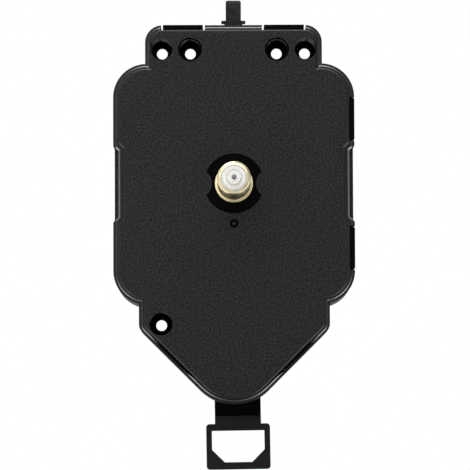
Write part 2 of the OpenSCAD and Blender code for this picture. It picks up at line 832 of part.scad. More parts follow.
// Holes through the rear case for what turns, screws in or passes
module case_holes() {
    slab(bay_y, main_depth + over)
        translate([-bay_half_l, bay_bottom])
            square([2 * bay_half_l, bay_top - bay_bottom]);
    slab(cover_t - over, well_depth)
        screw_wells(0, inner_bore_r);
    for (at = concat(outer_screws, inner_screws, [foot_screw])) {
        rod(well_depth - over, base_depth, screw_r, at);
        rod(well_depth + screw_floor_t, base_depth + over, screw_recess_r, at);
    }
    rod(main_depth - finger_depth, main_depth + over, finger_r, [0, bay_top + finger_reach - finger_r]);
    rod(base_depth, main_depth + over, well_r, setting_at);
    rod(base_floor_y - over, base_depth + over, setting_shaft_r + running_fit, setting_at);
    for (at = [third_at, middle_at, rotor_at])
        rod(base_floor_y - over, base_floor_y + pivot_l + end_play, pivot_r + running_fit, at);
    rod(base_floor_y - over, base_floor_y + pivot_l + end_play, second_pin_r + running_fit);
    for (at = pillars_at)
        rod(bridge_back - over, bridge_y + bridge_shank_l + end_play, bridge_shank_r + seat_fit, at);
    rod(pin_front - end_play, arm_y, pivot_pin_r + seat_fit, pivot_at);
    block([-hook_w / 2 - seat_fit, hook_y - seat_fit, top_z - wall_t - over],
        [hook_w / 2 + seat_fit, hook_y + hook_t + seat_fit, hook_seat_z + over]);
    for (tail = [[-bay_half_l, board_back], [bay_half_l - contact_t, strip_y]])
        block([tail[0] - seat_fit, tail[1] - seat_fit, box_bottom - over],
            [tail[0] + contact_t + seat_fit, tail[1] + tail_w + seat_fit, bay_bottom + over]);
    slab(cover_t - over, base_floor_y)
        difference() {
            edge_latches(latch_gap, wall_t);
            edge_latches(0, wall_t);
        }
    for (side = [-1, 1])
        translate([side * (main_size / 2 + over - grip_depth), 0, 0])
            block([-over, cover_t - over, -grip_h / 2], [over, main_depth + over, grip_h / 2]);
}

module rear_case() {
    color(case_black)
        difference() {
            union() {
                difference() {
                    case_solid();
                    case_hollow();
                }
                case_ribs();
                hook_seat();
                slab(latch_sink, cover_t + over) {
                    edge_latches();
                    foot_latches();
                }
            }
            case_holes();
        }
}

module threaded_bushing() {
    bore = hour_tube_r + running_fit;
    color(brass)
        turned()
            polygon([[bore, -cover_t], [shank_r, -cover_t], [shank_r, -collar_t], [collar_r, -collar_t],
                [collar_r, 0], [bush_r, 0], [bush_r, bush_l - bush_chamfer],
                [bush_r - bush_chamfer, bush_l], [bore, bush_l]]);
}

// Hour wheel with the tube that carries the hour hand
module hour_wheel() {
    color(moulded_white)
        difference() {
            union() {
                gear(hour_y, hour_y + wheel_t, hour_teeth, hour_wheel_r, hour_turn);
                rod(-bush_l, hour_y + wheel_t, hour_tube_r);
                rod(-hour_tip, hour_y, hour_seat_r);
            }
            rod(-hour_tip - over, hour_y + wheel_t + over, minute_tube_r + running_fit);
        }
}

// Minute tube with its pinion, the journal in the bridge and the stem under the centre wheel
module minute_arbor() {
    color(moulded_white)
        difference() {
            union() {
                rod(-minute_tip, motion_y, minute_seat_r);
                rod(-hour_tip, motion_y, minute_tube_r);
                gear(motion_y - shoulder_gap, motion_y + wheel_t + shoulder_gap,
                    minute_leaves, minute_pinion_r);
                rod(motion_y, centre_y, journal_r);
                rod(motion_y, clutch_y + clutch_t + shoulder_gap, stem_r);
            }
            rod(-minute_tip - over, third_y, second_pin_r + running_fit);
        }
}

module centre_wheel() {
    color(moulded_white)
        difference() {
            wheel(centre_y, centre_teeth, centre_wheel_r, centre_turn);
            rod(centre_y - over, clutch_y + over, stem_r + running_fit);
        }
}

// Spring washer pressed on the minute arbor's stem, which grips the centre wheel
module clutch_spring() {
    color(steel)
        difference() {
            rod(clutch_y, clutch_y + clutch_t, clutch_r);
            rod(clutch_y - over, clutch_y + clutch_t + over, stem_r + seat_fit);
        }
}

module third_wheel() {
    color(moulded_white) {
        wheel(third_y, third_teeth, third_wheel_r, third_turn, third_at);
        gear(centre_y - shoulder_gap, third_y, third_leaves, third_pinion_r, 0, third_at);
        arbor(third_at);
    }
}

module second_wheel() {
    color(moulded_white)
        difference() {
            union() {
                wheel(second_y, second_teeth, second_wheel_r, second_turn);
                gear(third_y - shoulder_gap, second_y + wheel_t, second_leaves, second_pinion_r);
                rod(second_y, base_floor_y - shoulder_gap, second_hub_r);
            }
            rod(third_y - over, base_floor_y, second_pin_r + seat_fit);
        }
}

// Steel pin through the hollow shafts, which carries the second hand
module second_pin() {
    color(steel) {
        rod(-second_tip, base_floor_y, second_seat_r);
        rod(-minute_tip, base_floor_y + pivot_l, second_pin_r);
    }
}

module intermediate_wheel() {
    color(moulded_white) {
        wheel(middle_y, middle_teeth, middle_wheel_r, middle_turn, middle_at);
        gear(second_y - shoulder_gap, middle_y, middle_leaves, middle_pinion_r, 0, middle_at);
        arbor(middle_at);
    }
}

module rotor_pinion() {
    color(moulded_white) {
        gear(middle_y - shoulder_gap, middle_y + wheel_t + shoulder_gap,
            rotor_leaves, rotor_pinion_r, 0, rotor_at);
        rod(bridge_back + shoulder_gap, rotor_y + rotor_magnet_h, rotor_bore_r - seat_fit, rotor_at);
        arbor(rotor_at);
    }
}

module rotor_magnet() {
    color("dimgray")
        difference() {
            rod(rotor_y, rotor_y + rotor_magnet_h, rotor_magnet_r, rotor_at);
            rod(rotor_y - over, rotor_y + rotor_magnet_h + over, rotor_bore_r, rotor_at);
        }
}

// Stator plate: two poles round the rotor, joined by thin necks, and a leg to each end of the coil
module stator() {
    half_w = leg_x + leg_w / 2;
    color(steel)
        slab(bridge_back, stator_back)
            translate(rotor_at)
                difference() {
                    union() {
                        circle(pole_r);
                        translate([-half_w, -leg_w])
                            square([2 * half_w, 2 * leg_w]);
                        for (x = [-half_w, half_w - leg_w])
                            translate([x, -coil_drop - leg_w / 2])
                                square([leg_w, coil_drop]);
                    }
                    circle(rotor_magnet_r + air_gap);
                    for (z = [-pole_r, pole_r])
                        translate([0, z])
                            circle(neck_cut_r);
                }
}

// Straight core through the motor coil, lying on the stator's legs
module motor_core() {
    half_w = leg_x + leg_w / 2;
    color(steel)
        block([coil_at[0] - half_w, stator_back, coil_at[1] - leg_w / 2],
            [coil_at[0] + half_w, stator_back + stator_t, coil_at[1] + leg_w / 2]);
}

module motor_bobbin() {
    axis = [core_mid_y, coil_at[1]];
    half_l = coil_l / 2;
    play = [over, stator_t / 2 + lid_fit, leg_w / 2 + lid_fit];
    mid = [coil_at[0], core_mid_y, coil_at[1]];
    reach = [half_l + flange_t, 0, 0];
    color(moulded_white)
        difference() {
            union() {
                cross_rod(mid[0] - half_l - flange_t, mid[0] + half_l + flange_t, barrel_r, axis);
                for (x = [mid[0] - half_l - flange_t, mid[0] + half_l])
                    cross_rod(x, x + flange_t, flange_r, axis);
            }
            block(mid - reach - play, mid + reach + play);
        }
}

module motor_coil() {
    axis = [core_mid_y, coil_at[1]];
    half_l = coil_l / 2;
    color(copper)
        difference() {
            cross_rod(coil_at[0] - half_l, coil_at[0] + half_l, winding_r, axis);
            cross_rod(coil_at[0] - coil_l, coil_at[0] + coil_l, barrel_r, axis);
        }
}

// Motion wheel, which turns the hour wheel from the minute pinion
module motion_wheel() {
    color(moulded_white) {
        wheel(motion_y, motion_teeth, motion_wheel_r, motion_turn, motion_at);
        gear(hour_y, motion_y, motion_leaves, motion_pinion_r, 0, motion_at);
        rod(cover_t + shoulder_gap, bridge_y - shoulder_gap, arbor_r, motion_at);
        rod(cover_t - pivot_l, bridge_y + pivot_l, pivot_r, motion_at);
    }
}

// Setting gear with the shaft that reaches the knob
module setting_gear() {
    color(moulded_white) {
        gear(motion_y, motion_y + wheel_t, setting_teeth, setting_gear_r, setting_turn, setting_at);
        rod(motion_y - axial_gap, knob_back - knob_cap_t, setting_shaft_r, setting_at);
        rod(cover_t - pivot_l, motion_y, setting_pivot_r, setting_at);
    }
}

module setting_knob() {
    color(case_black)
        difference() {
            gear(knob_y, knob_back, knob_flutes, knob_r - flute_depth, 0, setting_at);
            rod(knob_y - over, knob_back - knob_cap_t, setting_shaft_r + seat_fit, setting_at);
            rod(knob_back - knob_dish, knob_back + over, knob_r - 2 * flute_depth - knob_rim_w, setting_at);
        }
}

// Plate between the motion work and the wheel train
module train_bridge() {
    color("#d8d8d2")
        slab(bridge_y, bridge_back)
            difference() {
                rounded_rect(bridge_half_w, -bridge_drop, bridge_top, bridge_corner_r);
                circle(journal_r + running_fit);
                translate(setting_at)
                    circle(setting_shaft_r + running_fit);
                for (at = [motion_at, third_at, middle_at, rotor_at])
                    translate(at)
                        circle(pivot_r + running_fit);
                for (at = pillars_at)
                    translate(at)
                        circle(bridge_shank_r + running_fit);
            }
}

module bridge_screws() {
    color(steel)
        for (at = pillars_at)
            difference() {
                union() {
                    rod(bridge_y - bridge_head_h, bridge_y, bridge_head_r, at);
                    rod(bridge_y - bridge_head_h / 2, bridge_y + bridge_shank_l, bridge_shank_r, at);
                }
                for (turn = [0, 90])
                    translate([at[0], bridge_y - bridge_head_h, at[1]])
                        rotate([0, turn, 0])
                            cube([bridge_head_r, bridge_head_h, bridge_head_r / 4], center = true);
            }
}

module circuit_board() {
    color("#2f6b3c")
        slab(bridge_back, board_back)
            difference() {
                translate([board_x - board_w / 2, board_z - board_h / 2])
                    square([board_w, board_h]);
                for (at = pillars_at)
                    translate(at)
                        circle(pillar_r + lid_fit);
            }
}

// Resin drop over the chip: the cap of a ball
module chip_resin() {
    ball_r = (chip_r * chip_r + chip_h * chip_h) / (2 * chip_h);
    color("#1c1c1e")
        translate([chip_at[0], board_back, chip_at[1]])
            rotate([-90, 0, 0])
                rotate_extrude()
                    intersection() {
                        translate([0, chip_h - ball_r])
                            circle(ball_r);
                        square([chip_r, chip_h]);
                    }
}

module quartz_crystal() {
    color(steel)
        translate([crystal_at[0], board_back + crystal_r, crystal_at[1] - crystal_l / 2])
            cylinder(r = crystal_r, h = crystal_l);
}

// Contact plate on one end wall of the bay, with its tail through the bay's lower wall
module contact_plate(wall_x, inward, tail_y, tail_end) {
    low_x = min(wall_x, wall_x + inward * contact_t);
    mid_y = (bay_y + main_depth) / 2;
    block([low_x, mid_y - contact_w / 2, cell_z - contact_h / 2],
        [low_x + contact_t, mid_y + contact_w / 2, cell_z + contact_h / 2]);
    block([low_x, tail_y, cell_z - contact_h / 2], [low_x + contact_t, mid_y, cell_z]);
    block([low_x, tail_y, tail_end], [low_x + contact_t, tail_y + tail_w, cell_z]);
}

// Positive contact, whose long strip runs under the bay to the circuit board
module positive_contact() {
    strip_top = box_bottom - shoulder_gap;
    strip_low = strip_top - contact_t;
    foot_x = board_x + 2 * tail_w;
    foot_z = board_z + board_h / 2 - 2 * contact_t;
    color(steel) {
        contact_plate(bay_half_l, -1, strip_y, strip_low);
        cross_rod(bay_half_l - contact_bow / 2 - contact_t, bay_half_l - contact_t / 2, button_r,
            [(bay_y + main_depth) / 2, cell_z]);
        block([foot_x, strip_y, strip_low], [bay_half_l, strip_y + tail_w, strip_top]);
        block([foot_x, strip_y + tail_w - contact_t, foot_z], [foot_x + tail_w, strip_y + tail_w, strip_top]);
        block([foot_x, board_back, foot_z - contact_t],
            [foot_x + tail_w, strip_y + tail_w, foot_z + contact_t]);
    }
}

// Negative contact with a bowed spring leaf, and a foot on the circuit board
module negative_contact() {
    leaf_y = bay_y + main_depth;
    half_l = contact_w / 2 - contact_t;
    bow_r = (half_l * half_l + contact_bow * contact_bow) / (2 * contact_bow);
    foot_z = pillar_z[0] - pillar_r - 2 * tail_w;
    color(steel) {
        contact_plate(-bay_half_l, 1, board_back, foot_z);
        translate([-bay_half_l + contact_t, leaf_y / 2, cell_z - contact_h / 3])
            linear_extrude(contact_h * 2 / 3)
                intersection() {
                    difference() {
                        translate([contact_bow - bow_r, 0])
                            circle(bow_r);
                        translate([contact_bow - bow_r, 0])
                            circle(bow_r - contact_t);
                    }
                    translate([-contact_t / 2, -contact_w / 2])
                        square([contact_w, contact_w]);
                }
        block([-bay_half_l, board_back, foot_z], [board_x, board_back + contact_t, foot_z + tail_w]);
    }
}

// Outline of the pendulum arm, seen from the front
module arm_outline() {
    half = arm_w / 2;
    translate(pivot_at)
        circle(eye_r);
    polygon([[-eye_r, pivot_z], [eye_r, pivot_z], [half, pivot_z - arm_taper], [half, -frame_top],
        [-half, -frame_top], [-half, pivot_z - arm_taper]]);
    rounded_rect(frame_w / 2, -frame_bottom, -frame_top, frame_corner_r);
}

// Window of the hook frame, with slanted lower corners
module frame_window() {
    half = frame_w / 2 - frame_side_t;
    top = -frame_top - frame_top_t;
    low = -frame_bottom + frame_foot_t;
    polygon([[-half, top], [half, top], [half, low + frame_slant], [half - frame_slant, low],
        [frame_slant - half, low], [-half, low + frame_slant]]);
}

// Turns the pendulum's pieces about the pivot to where they hang at rest
module hanging() {
    translate([0, 0, pivot_z])
        rotate([0, -arm_rest, 0])
            translate([0, 0, -pivot_z])
                children();
}

module pendulum_arm() {
    rib_x = arm_w / 2 - rib_w;
    rib_top = pivot_z - arm_taper;
    color("#1d1d1d")
        hanging()
            difference() {
                union() {
                    slab(arm_y, arm_back)
                        arm_outline();
                    slab(arm_y - pad_t, arm_back)
                        intersection() {
                            arm_outline();
                            translate([-frame_w, -frame_bottom - over])
                                square([2 * frame_w, frame_h + over + pad_h]);
                        }
                    for (x = [-rib_x - rib_w, rib_x])
                        block([x, arm_y, -frame_top], [x + rib_w, arm_back + rib_h, rib_top]);
                    rod(arm_y, arm_back + rib_h, drive_magnet_r + magnet_wall, drive_at);
                }
                slab(arm_y - over, arm_back + over)
                    frame_window();
                rod(arm_y - over, arm_back + over, pivot_pin_r + running_fit, pivot_at);
                rod(arm_y - over, arm_back + rib_h + over, drive_magnet_r + seat_fit, drive_at);
            }
}

module pivot_pin() {
    color(steel)
        rod(pin_front, clip_y + clip_t + boss_gap, pivot_pin_r, pivot_at);
}

// Push-on clip that keeps the arm on its pin
module pivot_clip() {
    color(steel)
        difference() {
            rod(clip_y, clip_y + clip_t, clip_r, pivot_at);
            rod(clip_y - over, clip_y + clip_t + over, pivot_pin_r + seat_fit, pivot_at);
        }
}

module drive_magnet() {
    color("silver")
        hanging()
            rod(base_depth + drive_gap, base_depth + drive_gap + drive_magnet_h, drive_magnet_r, drive_at);
}

module drive_bobbin() {
    front = base_floor_y - drive_bobbin_h;
    color(moulded_white)
        difference() {
            union() {
                rod(front, base_floor_y, drive_barrel_r, drive_at);
                for (y = [front, base_floor_y - flange_t])
                    rod(y, y + flange_t, drive_flange_r, drive_at);
            }
            rod(front - over, base_floor_y + over, peg_r + seat_fit, drive_at);
        }
}

module drive_coil() {
    front = base_floor_y - drive_bobbin_h + flange_t;
    back = base_floor_y - flange_t;
    color(copper)
        difference() {
            rod(front, back, drive_flange_r - flange_t, drive_at);
            rod(front - over, back + over, drive_barrel_r, drive_at);
        }
}

// Side profile of the hanging hook, drawn in the YZ plane
module hook_profile() {
    depth = 2 * hook_t + hook_gap;
    difference() {
        translate([hook_y + depth / 2, 0])
            rounded_rect(depth / 2, hook_low, hook_top, hook_t);
        translate([hook_y + hook_t, 0])
            square([hook_gap, hook_top - hook_t]);
        translate([hook_y + hook_t, 0])
            square([hook_gap + hook_t + over, hook_top - hook_back_l]);
    }
    translate([hook_y, hook_low])
        square([hook_t, hook_t]);
}

module hanging_hook() {
    color(steel) {
        intersection() {
            translate([-hook_w / 2, 0, 0])
                rotate([90, 0, 90])
                    linear_extrude(hook_w)
                        hook_profile();
            slab(hook_y - over, main_depth)
                rounded_rect(hook_w / 2, hook_low - hook_t, hook_top, hook_corner_r);
        }
        block([-hook_flange_w / 2, hook_y - flange_reach, hook_seat_z],
            [hook_flange_w / 2, hook_y + hook_t, hook_seat_z + hook_flange_h]);
        block([-hook_w / 2, hook_y - hook_shoulder_t, hook_seat_z],
            [hook_w / 2, hook_y + hook_t, hook_seat_z + hook_flange_h + hook_shoulder_h]);
    }
}

front_cover();
rear_case();
threaded_bushing();
hour_wheel();
minute_arbor();
centre_wheel();
clutch_spring();
third_wheel();
second_wheel();
second_pin();
intermediate_wheel();
rotor_pinion();
rotor_magnet();
stator();
motor_core();
motor_bobbin();
motor_coil();
motion_wheel();
setting_gear();
setting_knob();
train_bridge();
bridge_screws();
circuit_board();
chip_resin();
quartz_crystal();
positive_contact();
negative_contact();
pendulum_arm();
pivot_pin();
pivot_clip();
drive_magnet();
drive_bobbin();
drive_coil();
hanging_hook();
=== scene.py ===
"""Quartz clock movement with a pendulum arm: the finish of every piece, round its fixed frame.

Metres. X points right and Z up as seen from the front, and Y points back into the case.
"""
import contextlib
import json
import math

import bmesh
import bpy
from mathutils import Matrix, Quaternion, Vector

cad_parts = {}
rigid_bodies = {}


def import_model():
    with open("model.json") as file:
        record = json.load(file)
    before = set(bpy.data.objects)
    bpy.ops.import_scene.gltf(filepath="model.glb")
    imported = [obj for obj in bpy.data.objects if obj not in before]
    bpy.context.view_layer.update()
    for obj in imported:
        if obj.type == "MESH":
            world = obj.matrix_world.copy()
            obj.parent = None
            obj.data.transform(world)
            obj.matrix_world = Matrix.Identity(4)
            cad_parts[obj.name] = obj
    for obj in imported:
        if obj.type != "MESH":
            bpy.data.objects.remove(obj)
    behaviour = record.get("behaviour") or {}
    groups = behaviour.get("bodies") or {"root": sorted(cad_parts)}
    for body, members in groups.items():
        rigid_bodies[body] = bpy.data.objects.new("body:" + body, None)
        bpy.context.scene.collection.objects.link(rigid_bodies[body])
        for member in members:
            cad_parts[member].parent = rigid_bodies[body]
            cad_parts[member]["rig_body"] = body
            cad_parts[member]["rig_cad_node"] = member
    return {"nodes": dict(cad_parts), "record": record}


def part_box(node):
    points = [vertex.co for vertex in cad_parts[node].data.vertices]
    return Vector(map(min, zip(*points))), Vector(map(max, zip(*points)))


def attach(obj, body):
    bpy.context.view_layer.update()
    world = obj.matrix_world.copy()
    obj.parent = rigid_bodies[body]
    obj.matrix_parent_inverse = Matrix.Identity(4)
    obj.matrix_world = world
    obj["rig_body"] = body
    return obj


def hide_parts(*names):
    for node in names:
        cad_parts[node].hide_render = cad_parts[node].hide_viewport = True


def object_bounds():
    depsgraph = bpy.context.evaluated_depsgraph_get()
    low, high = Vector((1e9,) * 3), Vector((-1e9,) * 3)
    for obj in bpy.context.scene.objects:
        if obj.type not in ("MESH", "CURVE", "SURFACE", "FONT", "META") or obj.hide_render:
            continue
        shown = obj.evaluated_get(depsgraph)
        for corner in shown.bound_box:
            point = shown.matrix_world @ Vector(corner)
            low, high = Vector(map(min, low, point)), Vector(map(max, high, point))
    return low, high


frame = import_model()
cad_low, cad_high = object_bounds()
nodes = frame["nodes"]
record = frame["record"]
body_of_node = {n: b for b, members in record["behaviour"]["bodies"].items() for n in members}
slot_of_node = {s["node"]: s["material_slot"] for s in record["subparts"]}
mounts = {m["name"]: m for m in record["mounts"]}

MM = 0.001

# The photograph's viewpoint, as angles about a point on the front face
VIEW_ANGLE = math.radians(7.4194)
VIEW_DISTANCE = 0.8388
VIEW_AZIMUTH = math.radians(-0.131)
VIEW_ELEVATION = math.radians(-3.796)
VIEW_ROLL = math.radians(-0.205)
AIM = Vector((0.20, 0, -11.99)) * MM

# Depths from the face that bears on the dial
FACE_Y = 0.0
RIM_Y = 0.45 * MM
LEDGE_Y = 0.95 * MM
COVER_T = 2.0 * MM
BAY_FLOOR = 5.0 * MM
BASE_BACK = 14.0 * MM
CASE_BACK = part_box("rear_case")[1].y

# Cover: width of the lowered rim, and how far the foot's latch slots bite past it into the face
RIM_W = 1.2 * MM
SLOT_BITE = 0.08 * MM
# These slots lie between two distances from the middle
SLOT_X = (10.5 * MM, 18.5 * MM)
# All that is sunk round the hand shaft, with the dimple below it, lies within this of its axis
SUNK_REACH = 11.0 * MM
# Radius of the screw wells, by the mount that they belong to
WELL_R = {"outer_screw_pair": 2.5 * MM, "inner_screw_pair": 2.8 * MM, "foot_screw_hole": 2.7 * MM}
WELL_SIDES = 64

# Top of the arm's hook frame
FRAME_TOP = -55.4 * MM

# Bushing: its thread is M8 by 0.75, cut by a triangle that stands a little out of the metal
BUSH_R = 3.85 * MM
BUSH_L = -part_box("threaded_bushing")[0].y
THREAD_PITCH = 0.75 * MM
THREAD_DEPTH = 0.42 * MM
THREAD_START = 0.9 * MM
THREAD_STEPS = 48
GROOVE_H = THREAD_DEPTH + 0.1 * MM
GROOVE_R = GROOVE_H / 1.5

# Coils: radius of the wire, and the pitch of its turns as a share of its width
MOTOR_WIRE_R = 0.11 * MM
DRIVE_WIRE_R = 0.13 * MM
WIRE_PITCH = 1.02
WIRE_SIDES = 6
WIRE_STEPS = 40

# Marks on the back: how far they stand out and reach in, the two signs, and the arrow round the knob
MARK_RISE = 0.3 * MM
MARK_SINK = 0.1 * MM
MARK_LINE = 0.8 * MM
SIGN_X = 18.0 * MM
SIGN_Z = 16.5 * MM
SIGN_W = 4.0 * MM
ARROW_R = 8.0 * MM
ARROW_HEAD = 1.5 * MM
ARROW_START = math.radians(215)
ARROW_END = math.radians(300)
ARROW_STEPS = 24

# Painted highlights on the rim's roundings: direction round the outline and spread in degrees, and share.
# The rest has the least share, and soft patches of one size break it up
PAINTED_HIGHLIGHTS = ((90, 20, 0.6), (225, 22, 0.55), (315, 22, 0.65), (270, 30, 0.05))
PAINTED_HIGHLIGHT_LEAST = 0.03
PAINTED_HIGHLIGHT_PATCH = 1.5 * MM
# The rounding of the face gets this much of the rim's painted highlight share
FACE_PAINTED_HIGHLIGHT = 0.2
# The rim of the two recessed sides, between these heights, gets this much more painted highlight
SIDE_STRETCH = (-9.0 * MM, 8.0 * MM)
SIDE_PAINTED_HIGHLIGHT = 0.15

# Finishing sizes
RIM_ROUND = 0.4 * MM
FACE_ROUND = 0.35 * MM
BACK_ROUND = 0.3 * MM
ARM_ROUND = 0.3 * MM
MOULDING_EDGE = 0.08 * MM
SMALL_EDGE = 0.06 * MM

# How close places count as one, how close points are merged, and the angles of sharp and of flat edges
NEAR = 0.02 * MM
MERGE = 0.001 * MM
SHARP = math.radians(35)
FLAT = math.radians(0.5)
# How much a face looks along the depth: up to WALL on a wall, SIDE on a side and ROUNDED on a rounding,
# and more than SQUARE on a flat face seen square on
WALL = 0.1
SIDE = 0.7
ROUNDED = 0.98
SQUARE = 0.999

# Grain: where in the noise the hollows end and the tops start
GRAIN_STEPS = (0.35, 0.65)
# The wave texture turns through this many radians in one unit
WAVE_RATE = 20

# Light: strength of the surroundings, and lamps as name, place, watts and side
SOFT_LIGHT = 0.55
LAMPS = (("lamp_front", (-0.3, -0.75, 0.45), 4.4, 0.9),
         ("lamp_above", (0.0, -0.1, 0.6), 4.0, 0.8),
         ("lamp_behind", (0.35, 0.6, 0.5), 3.2, 0.8))
# Gloss sees the surroundings brighten from below to above, by the height in its direction
HORIZON = (-0.3, 0.6)
BELOW_LEVEL = 0.3
# It sees a dark patch in front and one behind, by the depth in its direction
PATCH = (0.85, 0.98)
PATCH_LEVEL = 0.2
# It sees a painted dark strip of floor, standing in for the shade under the object, by the distance from
# the middle
STRIP = (0.015, 0.03)
STRIP_LEVEL = 0.3
# The floor lies just under the hanging part, and turns white between two distances from the middle
FLOOR_W = 4.0
FLOOR_DROP = 4.0 * MM
FLOOR_FADE = (0.08, 0.3)


# Helpers for modelling and dressing

def only(*objects):
    """Select these objects alone, with the first one active."""
    bpy.ops.object.select_all(action="DESELECT")
    for item in objects:
        item.select_set(True)
    bpy.context.view_layer.objects.active = objects[0]


def settle(name):
    """Name the new object, put its place and size into its mesh and return it."""
    made = bpy.context.object
    made.name = name
    bpy.ops.object.transform_apply(location=True, rotation=True, scale=True)
    return made


@contextlib.contextmanager
def editing(piece, kind="VERT", choose=None):
    """Edit mode with the corners, edges or faces selected that choose picks, or with everything."""
    only(piece)
    bpy.ops.object.mode_set(mode="EDIT")
    bpy.ops.mesh.select_mode(type=kind)
    bpy.ops.mesh.select_all(action="DESELECT" if choose else "SELECT")
    if choose:
        shape = bmesh.from_edit_mesh(piece.data)
        for member in {"VERT": shape.verts, "EDGE": shape.edges, "FACE": shape.faces}[kind]:
            if choose(member):
                member.select_set(True)
        bmesh.update_edit_mesh(piece.data)
    yield
    bpy.ops.object.mode_set(mode="OBJECT")


def apply_modifier(piece, kind, **settings):
    """Add one modifier with its settings and apply it."""
    modifier = piece.modifiers.new(kind.lower(), kind)
    for name, value in settings.items():
        setattr(modifier, name, value)
    only(piece)
    bpy.ops.object.modifier_apply(modifier=modifier.name)


def soften_edges(piece, width, segments=2):
    """Round every sharp edge by width, and smooth what is left round."""
    only(piece)
    bpy.ops.object.shade_smooth_by_angle(angle=SHARP)
    apply_modifier(piece, "BEVEL", width=width, segments=segments, limit_method="ANGLE",
                   angle_limit=SHARP, use_clamp_overlap=True, harden_normals=True)


def round_edges(piece, width, choose, segments):
    """Round the sharp convex edges that choose picks."""
    def picked(edge):
        paired = len(edge.link_faces) == 2 and edge.is_convex
        return paired and edge.calc_face_angle() > SHARP and choose(edge)

    with editing(piece, "EDGE", picked):
        bpy.ops.mesh.bevel(offset=width, segments=segments, affect="EDGES", clamp_overlap=False)


def tidy_mesh(piece):
    """Merge doubled points and join what lies in one plane."""
    with editing(piece):
        bpy.ops.mesh.remove_doubles(threshold=MERGE)
        bpy.ops.mesh.dissolve_limited(angle_limit=FLAT)


def merged_copy(node, name):
    """A copy of a CAD node as one clean mesh, with its flat faces whole."""
    piece = nodes[node].copy()
    piece.data = nodes[node].data.copy()
    piece.parent = None
    piece.name = name
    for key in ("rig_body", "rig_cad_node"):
        if key in piece:
            del piece[key]
    bpy.context.scene.collection.objects.link(piece)
    tidy_mesh(piece)
    return piece


def move_to(piece, place):
    """Move a piece's mesh, so that its object stays at the origin."""
    piece.location = place
    only(piece)
    bpy.ops.object.transform_apply(location=True, rotation=False, scale=False)


def cut(piece, cutter, operation="DIFFERENCE"):
    """Cut or join a solid, and delete the solid that did it."""
    apply_modifier(piece, "BOOLEAN", operation=operation, object=cutter, solver="EXACT")
    bpy.data.objects.remove(cutter)


def lies_at(edge, depth):
    """Whether both ends of an edge lie at a depth."""
    return all(abs(corner.co.y - depth) < NEAR for corner in edge.verts)


def off_axis(place):
    """Distance of a place from the axis of the hand shaft."""
    return math.hypot(place.x, place.z)


def dress(piece, *finishes):
    """Give a piece these materials in place of its own."""
    piece.data.materials.clear()
    for finish in finishes:
        piece.data.materials.append(finish)


def dress_by(piece, choose, *finishes):
    """Give each face the one of the finishes that choose returns for its centre and normal."""
    dress(piece, *finishes)
    for face in piece.data.polygons:
        face.material_index = finishes.index(choose(face.center, face.normal))


def stand_for(piece, node):
    """The piece takes the place of a CAD node, on its body."""
    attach(piece, body_of_node[node])
    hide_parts(node)


def hex_colour(code):
    """Linear RGBA of an sRGB hex value."""
    shares = [int(code[i:i + 2], 16) / 255 for i in (1, 3, 5)]
    linear = [s / 12.92 if s <= 0.04045 else ((s + 0.055) / 1.055) ** 2.4 for s in shares]
    return (*linear, 1)


def add_node(tree, kind, settings=None, links=None):
    """Add a node, set its properties and sockets, and link its inputs by name or number."""
    made = tree.nodes.new(kind)
    for name, value in (settings or {}).items():
        if name in made.inputs:
            made.inputs[name].default_value = value
        else:
            setattr(made, name, value)
    for name, source in (links or {}).items():
        tree.links.new(source, made.inputs[name])
    return made


def new_material(name, colour, roughness, metallic=0.0, **sockets):
    """A material with its Principled shader's own sockets set."""
    material = bpy.data.materials.new(name)
    material.use_nodes = True
    shader = material.node_tree.nodes["Principled BSDF"]
    shader.inputs["Base Color"].default_value = hex_colour(colour)
    shader.inputs["Roughness"].default_value = roughness
    shader.inputs["Metallic"].default_value = metallic
    for socket, value in sockets.items():
        shader.inputs[socket.replace("_", " ")].default_value = value
    return material


def tint_by(material, share, dark, light, steps=(0.0, 1.0)):
    """Colour a material from dark to light between two steps of a share."""
    tree = material.node_tree
    tint = add_node(tree, "ShaderNodeValToRGB", None, {"Fac": share})
    for element, step, colour in zip(tint.color_ramp.elements, steps, (dark, light)):
        element.position = step
        element.color = hex_colour(colour)
    tree.links.new(tint.outputs["Color"], tree.nodes["Principled BSDF"].inputs["Base Color"])


def grain(name, size, depth, light, dark, roughness, metallic=0.0, detail=2.0, **sockets):
    """A material with an even grain: bumps of one size and depth, whose hollows are a little darker."""
    material = new_material(name, light, roughness, metallic, **sockets)
    tree = material.node_tree
    place = add_node(tree, "ShaderNodeTexCoord")
    noise = add_node(tree, "ShaderNodeTexNoise", {"Scale": 1 / size, "Detail": detail, "Roughness": 0.55},
                     {"Vector": place.outputs["Object"]})
    bump = add_node(tree, "ShaderNodeBump", {"Strength": 1.0, "Distance": depth},
                    {"Height": noise.outputs["Fac"]})
    tree.links.new(bump.outputs["Normal"], tree.nodes["Principled BSDF"].inputs["Normal"])
    tint_by(material, noise.outputs["Fac"], dark, light, GRAIN_STEPS)
    return material


def turned(name, spacing, depth, colour, roughness):
    """A metal with the rings that a lathe or a grinder leaves, spaced along the hand shaft."""
    material = new_material(name, colour, roughness, 1.0)
    tree = material.node_tree
    place = add_node(tree, "ShaderNodeTexCoord")
    scale = math.tau / (WAVE_RATE * spacing)
    rings = add_node(tree, "ShaderNodeTexWave",
                     {"wave_type": "BANDS", "bands_direction": "Y", "Scale": scale,
                      "Distortion": 1.5, "Detail": 2.0, "Detail Scale": 3.0},
                     {"Vector": place.outputs["Object"]})
    bump = add_node(tree, "ShaderNodeBump", {"Strength": 0.6, "Distance": depth},
                    {"Height": rings.outputs["Fac"]})
    tree.links.new(bump.outputs["Normal"], tree.nodes["Principled BSDF"].inputs["Normal"])
    return material


